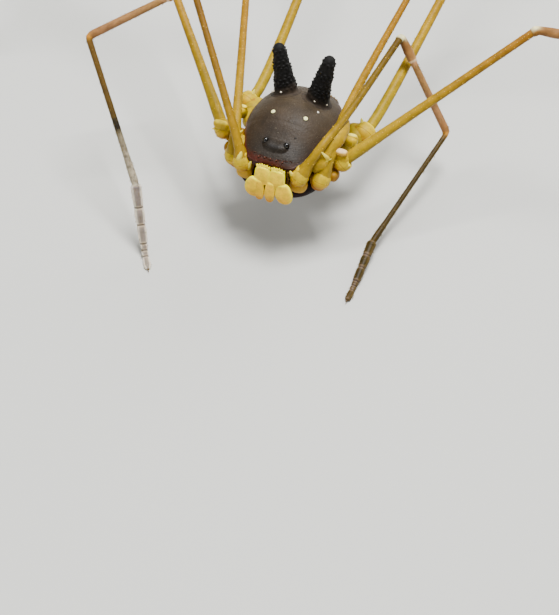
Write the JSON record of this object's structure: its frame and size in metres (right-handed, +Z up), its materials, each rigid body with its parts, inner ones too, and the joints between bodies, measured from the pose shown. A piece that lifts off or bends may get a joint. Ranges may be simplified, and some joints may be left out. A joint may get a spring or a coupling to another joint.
{
  "type": "harvestman",
  "caption": "Long-legged harvestman with a domed dark body, two black rabbit-ear horns on its back, yellow mouthparts and thighs, standing on thin jointed legs.",
  "frame": {"origin": "on the floor under the middle of the animal's bounding box, legs included", "axes": "+Z up, head towards -Y and turned about 22 degrees towards -X, the animal's own left towards +X"},
  "size_m": [0.0768, 0.0604, 0.021],
  "materials": {
    "shell": "dark brown-grey, matt, finely grained shell",
    "belly_skin": "glossy maroon-black underside",
    "horn": "black, rough with small tubercles",
    "eye": "wet black bead",
    "yellow_skin": "satin yellow shell with paler ridges",
    "thigh": "satin yellow-ochre shell with pale grains",
    "shin": "satin pinkish brown shell",
    "shank": "satin olive-brown shell",
    "foot": "matt grey-brown, ringed at each joint"
  },
  "bodies": {
    "root": {"carapace": "shell", "back_shield": "shell", "tail_plates": "shell", "belly": "belly_skin", "left_horn": "horn", "right_horn": "horn", "left_eye": "eye", "right_eye": "eye", "left_chelicera": "yellow_skin", "right_chelicera": "yellow_skin", "left_pedipalp": "yellow_skin", "right_pedipalp": "yellow_skin", "left_leg_1_coxa": "yellow_skin", "left_leg_1_femur": "thigh", "left_leg_1_tibia": "shin", "left_leg_1_metatarsus": "shank", "left_leg_1_tarsus": "foot", "left_leg_2_coxa": "yellow_skin", "left_leg_2_femur": "thigh", "left_leg_2_tibia": "shin", "left_leg_2_metatarsus": "shank", "left_leg_2_tarsus": "foot", "left_leg_3_coxa": "yellow_skin", "left_leg_3_femur": "thigh", "left_leg_3_tibia": "shin", "left_leg_3_metatarsus": "shank", "left_leg_3_tarsus": "foot", "left_leg_4_coxa": "yellow_skin", "left_leg_4_femur": "thigh", "left_leg_4_tibia": "shin", "left_leg_4_metatarsus": "shank", "left_leg_4_tarsus": "foot", "right_leg_1_coxa": "yellow_skin", "right_leg_1_femur": "thigh", "right_leg_1_tibia": "shin", "right_leg_1_metatarsus": "shank", "right_leg_1_tarsus": "foot", "right_leg_2_coxa": "yellow_skin", "right_leg_2_femur": "thigh", "right_leg_2_tibia": "shin", "right_leg_2_metatarsus": "shank", "right_leg_2_tarsus": "foot", "right_leg_3_coxa": "yellow_skin", "right_leg_3_femur": "thigh", "right_leg_3_tibia": "shin", "right_leg_3_metatarsus": "shank", "right_leg_3_tarsus": "foot", "right_leg_4_coxa": "yellow_skin", "right_leg_4_femur": "thigh", "right_leg_4_tibia": "shin", "right_leg_4_metatarsus": "shank", "right_leg_4_tarsus": "foot"}
  },
  "joints": []
}
